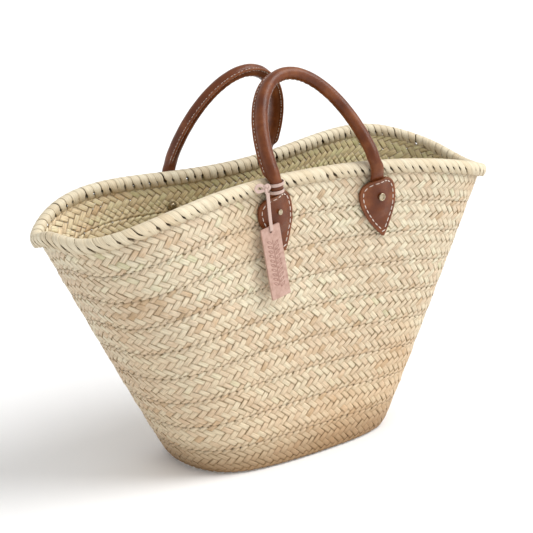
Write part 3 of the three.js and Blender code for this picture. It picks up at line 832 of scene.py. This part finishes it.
def makeRim():
    path = rollMiddle(np.linspace(0, turn, rim["ring"]))[0]
    count = round(runOf(path)[-1] / rim["pitch"])
    rng = np.random.default_rng(rim["seed"])
    stations = np.array(rim["stations"])
    steps = (len(wrapWay) - 1) * rim["turnSteps"]
    piece, i, step, station = newStrips("rimBinding", steps + 1, len(stations), count)
    across = stations[station]
    way = throughPoints(np.array(wrapWay), steps + 1)
    wayRun = unit(np.gradient(way[:, :2], axis=0))
    outwards, upwards, slide = way[step].T
    under = np.clip(-upwards / 8, 0, 1)

    fill = rim["fill"] - np.abs(rng.normal(0, rim["loose"], count))
    shift = rng.normal(0, rim["wander"], count)
    slit = np.clip(rng.normal(*rim["open"], count), *rim["openEnds"])
    tone = np.clip(rng.normal(*rim["tone"], count), 0, 1)
    lean = rng.normal(0, rim["lean"], count)
    width = fill[i] - slit[i] * np.exp(-(((upwards - rim["openAt"]) / rim["openReach"]) ** 2))
    along = i + 0.5 + shift[i] + (across - 0.5) * width + slide + lean[i] * under
    place, out = rollMiddle(evenAngles(along / count, path))
    swell = (rim["dome"] + rim["lowDome"] * under) * (1 - (2 * across - 1) ** 2) + rim["tilt"] * (across - 0.5)
    place = place + out * (outwards + wayRun[step, 1] * swell)[:, None]
    place[:, 2] += upwards - wayRun[step, 0] * swell
    layPoints(piece, place)

    layUv(piece, step / steps * 5 + i * 5.1, across)
    layValue(piece, "tone", tone[i])
    # Painted shade along the wrap edges and under the roll, passed on as the crevice value
    edge = rim["edgeShade"] * np.abs(2 * across - 1) ** 4 * (0.6 + under)
    layValue(piece, "crevice", np.clip(edge + rim["lowShade"] * easeStep(under * 1.3 - 0.3), 0, 1))
    finishWith(piece, "SOLIDIFY", thickness=rim["thickness"] / 1000, offset=0)
    smooth(piece)
    return piece


hand(makeRim(), rimPalm, "palm_leaf", "basket", "rim_wrap")
print("rim bound")


tube = dict(
    radius=7, rows=240, archSteps=61, softening=3.2, bendOut=3.8, bendDrop=9,
    finTurn=50, finBefore=12, finEase=16, sideSteps=22,
    ripple=0.05, ripplePitch=0.9, wear=0.5, apexWear=0.15,
    stitchPitch=4.2, stitchLength=2.7, stitchSize=0.75, stitchTurn=9.2, stitchReach=8.5,
)
# The seam's fin: how far it stands from the tube's middle, at degrees away from its own middle
finProfile = ((0, 11.0), (4, 10.95), (6.5, 10.3), (9, 8.4), (13, 7.2), (22, 7.0))
# Height above the rivet, distance from the wall, half thickness, half width
footStations = (
    (-15, 2.4, 1.8, 9), (0, 2.7, 2.2, 9.5), (6.5, 2.9, 2.4, 9.5), (14, 3.4, 2.8, 9.5), (20, 6.2, 4.6, 8.5),
)
rollStations = ((19, 12.1, 6.6, 7.2), (13, 12.8, 7, 7))  # the same, but depth below the bend


def footFrame(foot):
    side = handles[foot["handle"]]["side"]
    face = facePoint(foot["x"], foot["z"], side)
    beside = unit(facePoint(foot["x"] + 5, foot["z"], side) - facePoint(foot["x"] - 5, foot["z"], side))
    out = unit(np.array([beside[1], -beside[0], 0]) * -side)
    tilt = math.radians(foot["tilt"])

    def place(across, above, outwards):
        outwards = np.asarray(outwards, float)
        x = foot["x"] + across * math.cos(tilt) - above * math.sin(tilt)
        z = foot["z"] + above * math.cos(tilt) + across * math.sin(tilt)
        return facePoint(x, z, side) + out * outwards[..., None]

    return side, face, beside, out, place


# The way a leaning handle rises, and the way it faces the mouth
def leanOf(handle):
    lean = math.radians(handle["lean"])
    up = np.array([0, -handle["side"] * math.sin(lean), math.cos(lean)])
    return up, np.array([0, -handle["side"] * math.cos(lean), -math.sin(lean)])


def archAt(handle, angle):
    across = arch["halfSpan"] * np.cos(angle) + handle["skew"] * np.sin(angle)
    centre = np.stack([handle["x"] + across, handle["y"] + 0 * angle, handle["z"] + 0 * angle], -1)
    return centre + leanOf(handle)[0] * (handle["rise"] * np.sin(angle))[..., None]


def hingeAngle(handle, end):
    angle = math.asin(arch["hingeRise"] / handle["rise"])
    return angle if end > 0 else math.pi - angle


# The handle's flattened end, from under the tab up to the bend: centres, directions and half sizes
def footPath(foot):
    side, _, beside, out, place = footFrame(foot)
    handle = handles[foot["handle"]]
    hinge = archAt(handle, np.array([hingeAngle(handle, foot["end"])]))[0]
    tilt = math.radians(foot["tilt"])
    sideways = beside * math.cos(tilt) + np.array([0, 0, math.sin(tilt)])
    stations = [
        (place(0, above, outwards), sideways, wide, thick) for above, outwards, thick, wide in footStations
    ]
    top = place(0, footStations[-1][0], 0)
    for i, (below, outwards, thick, wide) in enumerate(rollStations):
        z = hinge[2] - below
        share = (z - top[2]) / (hinge[2] - top[2])
        centre = facePoint(top[0] + (hinge[0] - top[0]) * share, min(z, top[2]), side) + out * outwards
        centre[2] = z
        lean = tilt / (i + 2)
        stations.append((centre, beside * math.cos(lean) + np.array([0, 0, math.sin(lean)]), wide, thick))
    bend = hinge + np.array([0, side * tube["bendOut"], -tube["bendDrop"]])
    stations.append((bend, beside, tube["radius"], tube["radius"]))
    inwards = np.array([0, -side, 0.0])
    return [
        (centre, unit(sideways * foot["end"]), inwards, wide, thick)
        for centre, sideways, wide, thick in stations
    ]


# The whole handle from one foot over the arch to the other, at even steps: how far along, the tube's
# middle, its two directions across, its half sizes in them, and how fully the fin stands up (0 to 1)
def handlePath(name):
    handle = handles[name]
    up, inwards = leanOf(handle)
    stations = footPath(feet[name + "_left"])
    for angle in np.linspace(hingeAngle(handle, -1), hingeAngle(handle, 1), tube["archSteps"]):
        a = np.array([angle])
        run = unit(archAt(handle, a + 0.001) - archAt(handle, a - 0.001))[0]
        out = unit(np.cross(inwards, run))
        if out @ up * math.sin(angle) + out[0] * math.cos(angle) < 0:
            out = -out
        stations.append((archAt(handle, a)[0], out, inwards, tube["radius"], tube["radius"]))
    stations += footPath(feet[name + "_right"])[::-1]
    columns = [np.array([station[k] for station in stations]) for k in range(5)]
    run = runOf(columns[0])
    even = np.linspace(0, run[-1], tube["rows"] + 1)
    reach = tube["softening"] / (run[-1] / tube["rows"])
    kernel = np.exp(-((np.arange(-8, 9) / reach) ** 2))

    # Evens out one column of numbers, which is turned over past its ends
    def softened(values):
        line = np.interp(even, run, values)
        padded = np.concatenate([2 * line[0] - line[8:0:-1], line, 2 * line[-1] - line[-2:-10:-1]])
        return np.convolve(padded, kernel / kernel.sum(), "valid")

    centre, out, inside, wide, thick = (
        np.stack([softened(column[:, k]) for k in range(3)], -1) if column.ndim > 1 else softened(column)
        for column in columns
    )
    below = len(footStations) + len(rollStations) + 1
    start, end = run[below] - tube["finBefore"], run[-1 - below] + tube["finBefore"]
    fin = easeStep((even - start) / tube["finEase"]) * easeStep((end - even) / tube["finEase"])
    return even, centre, unit(out), unit(inside), wide, thick, fin


def makeHandle(name):
    even, centre, out, inside, wide, thick, fin = handlePath(name)
    edge = finProfile[-1][0]
    offsets = [-side for side, _ in finProfile[::-1]] + [side for side, _ in finProfile[1:]]
    offsets += list(np.linspace(edge, 360 - edge, tube["sideSteps"])[1:])
    piece = newGrid(name + "Handle", len(offsets) - 1, tube["rows"])
    across, along = gridShares(piece)
    column = np.rint(across * (len(offsets) - 1)).astype(int)
    row = np.rint(along * tube["rows"]).astype(int)
    away = np.array(offsets)[column]
    folded = np.minimum(np.abs(away), 360 - np.abs(away))
    sides, sizes = np.array(finProfile).T
    radius = 1 + (np.interp(folded, sides, sizes / tube["radius"]) - 1) * fin[row]
    angle = np.radians(tube["finTurn"] + away)
    apex = np.exp(-(((even[row] / even[-1] - 0.5) / 0.16) ** 2))
    under = np.clip(-np.cos(angle), 0, 1) ** 1.5
    ripple = np.sin(even[row] * tube["ripplePitch"] + 0.9 * np.sin(even[row] * 0.23))
    radius = radius - tube["ripple"] * apex * under * (0.5 + ripple)
    radius = radius + 0.006 * np.sin(even[row] * 0.31 + angle * 2)  # a hand-sewn tube is never quite round
    x = wide[row] * radius * np.cos(angle)
    y = thick[row] * radius * np.sin(angle)
    layPoints(piece, centre[row] + out[row] * x[:, None] + inside[row] * y[:, None])
    layUv(piece, even[row] / 10, across)
    wear = (folded < 8) * fin[row] * tube["wear"] + tube["apexWear"] * apex * np.clip(np.cos(angle), 0, 1)
    layValue(piece, "worn", np.clip(wear, 0, 1))
    closeUp(piece)
    smooth(piece, 50)
    return piece


# Copies of a small piece, each turned to a frame of three directions and a place
def layCopies(source, frames, name):
    first = pointsOf(source) * 1000
    finishWith(
        source, "ARRAY", count=len(frames), use_relative_offset=False, use_constant_offset=True,
        constant_offset_displace=(1, 0, 0),
    )
    points = np.concatenate([place + first @ np.stack(axes) for *axes, place in frames])
    layPoints(source, points)
    source.name = source.data.name = name
    return source


def newStitch(length, size):
    selectNone()
    bpy.ops.mesh.primitive_uv_sphere_add(segments=8, ring_count=6, radius=0.001)
    bpy.ops.object.mode_set(mode="EDIT")
    bpy.ops.mesh.select_all(action="SELECT")
    bpy.ops.transform.rotate(value=math.pi / 2, orient_axis="Y", center_override=(0, 0, 0))
    bpy.ops.transform.resize(value=(length / 2, size / 2, size / 2), center_override=(0, 0, 0))
    bpy.ops.object.mode_set(mode="OBJECT")
    return bpy.context.object


def finStitches(name):
    even, centre, out, inside, _, _, fin = handlePath(name)
    run = unit(np.gradient(centre, axis=0))
    frames = []
    for distance in np.arange(0, even[-1], tube["stitchPitch"]):
        i = int(np.searchsorted(even, distance))
        if fin[i] < 0.9:
            continue
        for side in (-1, 1):
            angle = math.radians(tube["finTurn"] + side * tube["stitchTurn"])
            ray = out[i] * math.cos(angle) + inside[i] * math.sin(angle)
            normal = unit(np.cross(run[i], ray)) * side
            frames.append((run[i], np.cross(normal, run[i]), normal, centre[i] + ray * tube["stitchReach"]))
    stitches = layCopies(newStitch(tube["stitchLength"], tube["stitchSize"]), frames, name + "HandleStitches")
    smooth(stitches)
    return stitches


for name, handle in handles.items():
    body = name + "_handle"
    sleeve = makeHandle(name)
    ends = [f"{name}_{side}_handle_end" for side in ("left", "right")]
    hand(sleeve, leather, "leather", None, body + "_leather", *ends)
    stitches = finStitches(name)
    hand(stitches, stitchThread, "thread", None, body + "_thread")
    for piece in (sleeve, stitches):
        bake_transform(piece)
print("handles made")


tab = dict(
    top=20.5, tip=-46.8, halfWidth=24, topCurve=(20.9, 2.9), tipCurve=(47.3, 1.7), thickness=1.5, layerGap=0.12,
    underSpread=0.008, seat=0.3, bulgeWidth=(14, 0.1), groove=0.35, edgeDrop=0.35, wear=0.55, bevel=0.35,
    columns=34, rows=56, stitchInset=3.9, stitchPitch=6.6, stitchLength=5.0, stitchSize=1.15,
)
# How far the tab stands off the wall over the handle's end, at heights above the rivet
standOff = ((-44, 0.4), (-26, 0.6), (-15, 4.9), (0, 5.5), (6.5, 5.6), (14, 6.6), (20, 10.9))


def tabHalfWidth(above):
    reach, power = tab["topCurve"]
    upper = np.sqrt(np.clip(1 - (np.maximum(above, 0) / reach) ** power, 0, 1))
    reach, power = tab["tipCurve"]
    lower = 1 - np.clip(-above / reach, 0, 1) ** power
    return tab["halfWidth"] * np.where(above >= 0, upper, lower)


def tabOutline():
    rise = np.linspace(tab["tip"], tab["top"], 160)
    right = np.stack([tabHalfWidth(rise), rise], -1)
    return np.concatenate([right, right[::-1] * (-1, 1)])


outline = tabOutline()


def edgeDistance(across, above):
    places = np.stack([across, above], -1)[:, None]
    return np.linalg.norm(places - outline[None], axis=-1).min(1)


def tabLift(across, above):
    rises, lifts = zip(*standOff)
    reach = tab["bulgeWidth"][0] + tab["bulgeWidth"][1] * np.maximum(above, 0)
    return tab["seat"] + np.interp(above, rises, lifts) * np.exp(-((across / reach) ** 2))


def tabLayer(name, foot, depth, spread, groove):
    place = footFrame(foot)[4]
    piece = newGrid(name, tab["columns"], tab["rows"])
    across, along = gridShares(piece)
    above = tab["tip"] + (tab["top"] - tab["tip"]) * (0.5 - 0.5 * np.cos(math.pi * along))
    wide = (2 * across - 1) * tabHalfWidth(above)
    edge = edgeDistance(wide, above)
    lift = tabLift(wide, above) + 2 * tab["thickness"] - depth
    lift = lift - groove * np.exp(-((edge - tab["stitchInset"]) ** 2))
    lift = lift - tab["edgeDrop"] * np.exp(-((edge / 0.9) ** 2))
    layPoints(piece, place(wide * (1 + spread), above * (1 + spread), lift))
    layUv(piece, along * 6, across * 4)
    layValue(piece, "worn", tab["wear"] * np.exp(-((edge / 1.1) ** 2)))
    closeUp(piece, fill=False)
    side = handles[foot["handle"]]["side"]
    facing = sum(polygon.normal.y for polygon in piece.data.polygons) * side
    finishWith(piece, "SOLIDIFY", thickness=tab["thickness"] / 1000, offset=-1 if facing > 0 else 1)
    closeUp(piece, fill=False)
    bevelEdges(piece, tab["bevel"], 60)
    return piece


def makeTab(name, foot):
    lower = tabLayer("under", foot, tab["thickness"] + tab["layerGap"], tab["underSpread"], 0)
    upper = tabLayer("over", foot, 0, 0, tab["groove"])
    selectOnly(upper, lower)
    bpy.ops.object.join()
    piece = named(name)
    smooth(piece, 45)
    return piece


def tabStitches(name, foot):
    out, place = footFrame(foot)[3:]
    run = unit(np.gradient(outline, axis=0))
    inner = outline + np.stack([-run[:, 1], run[:, 0]], -1) * tab["stitchInset"]
    inner = inner[edgeDistance(inner[:, 0], inner[:, 1]) > tab["stitchInset"] - 0.15]
    ring = np.vstack([inner, inner[:1]])
    steps = runOf(ring)
    count = round(steps[-1] / tab["stitchPitch"])
    frames = []

    def on(distance):
        across, above = (np.interp(distance % steps[-1], steps, ring[:, k]) for k in (0, 1))
        return place(across, above, tabLift(across, above) + 2 * tab["thickness"] - 0.05)

    for distance in np.arange(count) * steps[-1] / count:
        along = unit(on(distance + 1.5) - on(distance - 1.5))
        normal = unit(out - along * (out @ along))
        frames.append((along, np.cross(normal, along), normal, on(distance)))
    stitches = layCopies(newStitch(tab["stitchLength"], tab["stitchSize"]), frames, name)
    smooth(stitches)
    return stitches


rivet = dict(
    head=4.25, height=1.6, crown=(0.6, 0.4), lip=0.55, dish=(0.5, 1.3), button=(1.2, 0.3), bevel=0.25, seat=9.9,
    washer=5.5, washerHeight=1, burr=3, burrHeight=1, burrTop=(0.8, 0.4), washerBevel=0.2, washerSeat=-4.7,
)


# A short cylinder whose top or bottom face is then shaped in steps of inset and depth
def newDisc(radius, height, lift, up, steps, bevel):
    selectNone()
    bpy.ops.mesh.primitive_cylinder_add(
        vertices=32, radius=radius / 1000, depth=height / 1000, location=(0, 0, lift / 1000))
    bpy.ops.object.transform_apply(location=True, rotation=False, scale=False)
    disc = bpy.context.object
    for face in disc.data.polygons:
        face.select = face.normal.z * up > 0.9
    bpy.ops.object.mode_set(mode="EDIT")
    bpy.ops.mesh.select_mode(type="FACE")
    for inset, depth in steps:
        bpy.ops.mesh.inset(thickness=inset / 1000, depth=depth / 1000)
    bpy.ops.object.mode_set(mode="OBJECT")
    bevelEdges(disc, bevel, 35)
    return disc


# A rivet head with a rounded rim and a dished middle, its seat at zero
def newRivet():
    slope, drop = rivet["dish"]
    steps = (rivet["crown"], (rivet["lip"], 0), (slope, -drop), rivet["button"])
    return newDisc(rivet["head"], rivet["height"], rivet["height"] / 2, 1, steps, rivet["bevel"])


# The washer inside the wall, with the rivet's flattened end standing in its middle
def newWasher():
    steps = ((rivet["washer"] - rivet["burr"], 0), (0, rivet["burrHeight"]), rivet["burrTop"])
    return newDisc(rivet["washer"], rivet["washerHeight"], 0, -1, steps, rivet["washerBevel"])


def setOnWall(piece, name, foot, seat):
    _, face, _, out, _ = footFrame(foot)
    sideways = np.cross([0, 0, 1], out)
    frames = [(sideways, np.cross(out, sideways), out, face + out * seat)]
    layCopies(piece, frames, name)
    closeUp(piece)
    smooth(piece, 35)
    return piece


for name, foot in feet.items():
    label = "".join(word.capitalize() for word in name.split("_"))
    hand(makeTab("tab" + label, foot), leather, "leather", "basket", name + "_tab")
    hand(tabStitches("tabStitches" + label, foot), stitchThread, "thread", "basket", name + "_tab_thread")
    head = setOnWall(newRivet(), "rivet" + label, foot, rivet["seat"])
    hand(head, rivetMetal, "rivet_metal", "basket", name + "_rivet")
    washer = setOnWall(newWasher(), "washer" + label, foot, rivet["washerSeat"])
    hand(washer, rivetMetal, "rivet_metal", "basket", name + "_washer")
print("tabs and rivets made")


ribbon = dict(width=3.5, thickness=0.8, proud=0.7, slope=1.4, low=313.4, high=321.4, turns=2, steps=150)
knot = dict(
    middle=(-84, -92.5, 319), scale=(1.25, 0.95, 1.5), halfWidth=1.7, halfThickness=1.0, columns=12, rows=90,
)
tail = dict(width=3.6, twist=0.5, steps=40)
tailRoute = np.array([
    (-2.5, 0, 1.5), (-7, 0.3, 4.6), (-11.5, 0.8, 4.4), (-13.5, 1.0, 1.2), (-11, 0.9, -1.8), (-6.5, 0.3, -1.6),
    (-2.5, -0.3, -0.5),
])


# Two bands round the handle's foot, fitted to its leather; the step from one to the other is at the back
def ribbonWraps():
    leg = pointsOf(bpy.data.objects["frontHandle"]) * 1000 - centring
    leg = leg[leg[:, 0] < 0]
    share = np.linspace(0, 1, ribbon["steps"])
    step = easeStep((share - 0.4) / 0.2)
    angle = share * ribbon["turns"] * turn + math.pi / 2
    rings = []
    for height in (ribbon["low"], ribbon["high"]):
        near = leg[np.abs(leg[:, 2] - height) < 3.5][:, :2]
        middle = (near.min(0) + near.max(0)) / 2
        rays = np.stack([np.cos(angle), np.sin(angle)], -1)
        reach = ((near - middle) @ rays.T).max(0) + ribbon["proud"]
        rings.append(middle + rays * reach[:, None])
    flat = rings[0] * (1 - step)[:, None] + rings[1] * step[:, None]
    z = ribbon["low"] + (ribbon["high"] - ribbon["low"]) * step + ribbon["slope"] * np.cos(angle)
    facing = np.stack([np.cos(angle), np.sin(angle), 0 * angle], -1)
    route = np.concatenate([flat, z[:, None]], 1)
    return flatRibbon("ribbonWraps", route, facing, ribbon["width"], ribbon["thickness"])


# A pulled-tight trefoil of flat ribbon
def makeKnot():
    piece = newGrid("ribbonKnot", knot["columns"], knot["rows"])
    across, along = gridShares(piece)
    t = along * turn

    def knotPath(t):
        x, z = np.sin(t) + 2 * np.sin(2 * t), np.cos(t) - 2 * np.cos(2 * t)
        return np.stack([x, -np.sin(3 * t) * 1.2, z], -1) * np.array(knot["scale"])

    run = unit(knotPath(t + 0.01) - knotPath(t - 0.01))
    side = unit(np.cross(run, [0, 1, 0]))
    out = np.cross(side, run)
    angle = across * turn
    ring = side * (knot["halfWidth"] * np.cos(angle))[:, None]
    ring = ring + out * (knot["halfThickness"] * np.sin(angle))[:, None]
    layPoints(piece, knotPath(t) + ring + np.array(knot["middle"]))
    layUv(piece, along * 8, across)
    closeUp(piece)
    smooth(piece)
    return piece


def ribbonTail():
    path = throughPoints(tailRoute + np.array(knot["middle"]), tail["steps"])
    return flatRibbon("ribbonTail", path, (0, -1, 0), tail["width"], ribbon["thickness"], tail["twist"])


hand(ribbonWraps(), ribbonCloth, "ribbon", "basket", "ribbon_wraps")
hand(makeKnot(), ribbonCloth, "ribbon", "basket", "ribbon_knot")
hand(ribbonTail(), ribbonCloth, "ribbon", "basket", "ribbon_tail")
print("ribbon tied")


# The rope inside the handles and the roll inside the rim are kept as they come
for name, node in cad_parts.items():
    if name.endswith(("_rope", "rim_core")):
        node.data.materials.clear()
        node.data.materials.append(coreRope)


# The floor's and the lights' own sizes and places are in metres
studio = dict(floor=(0.95, 0.95, 0.95), floorSize=40, sky=0.72, key=2.3, keySpread=40, fill=6, fillSize=1.4)


def makeStage():
    selectNone()
    bpy.ops.mesh.primitive_plane_add(size=studio["floorSize"])
    floor = named("floor")
    material, _, shader = newMaterial("paleFloor", 0.9)
    shader["Base Color"].default_value = (*studio["floor"], 1)
    floor.data.materials.append(material)
    world = bpy.data.worlds.new("softSky")
    scene.world = world
    world.use_nodes = True
    sky = world.node_tree.nodes["Background"].inputs
    sky["Color"].default_value = (1, 1, 1, 1)
    sky["Strength"].default_value = studio["sky"]


def softLight(kind, name, place, size, power):
    selectNone()
    bpy.ops.object.light_add(type=kind, location=place)
    light = named(name)
    if kind == "SUN":
        light.data.angle = size
    else:
        light.data.size = size
    light.data.energy = power
    light.rotation_euler = (Vector((0, 0, 0.2)) - Vector(place)).to_track_quat("-Z", "Y").to_euler()


makeStage()
softLight("SUN", "keyLight", (1.5, -1.25, 2.3), math.radians(studio["keySpread"]), studio["key"])
softLight("AREA", "fillLight", (0.6, -2.5, 0.9), studio["fillSize"], studio["fill"])
print("stage set")
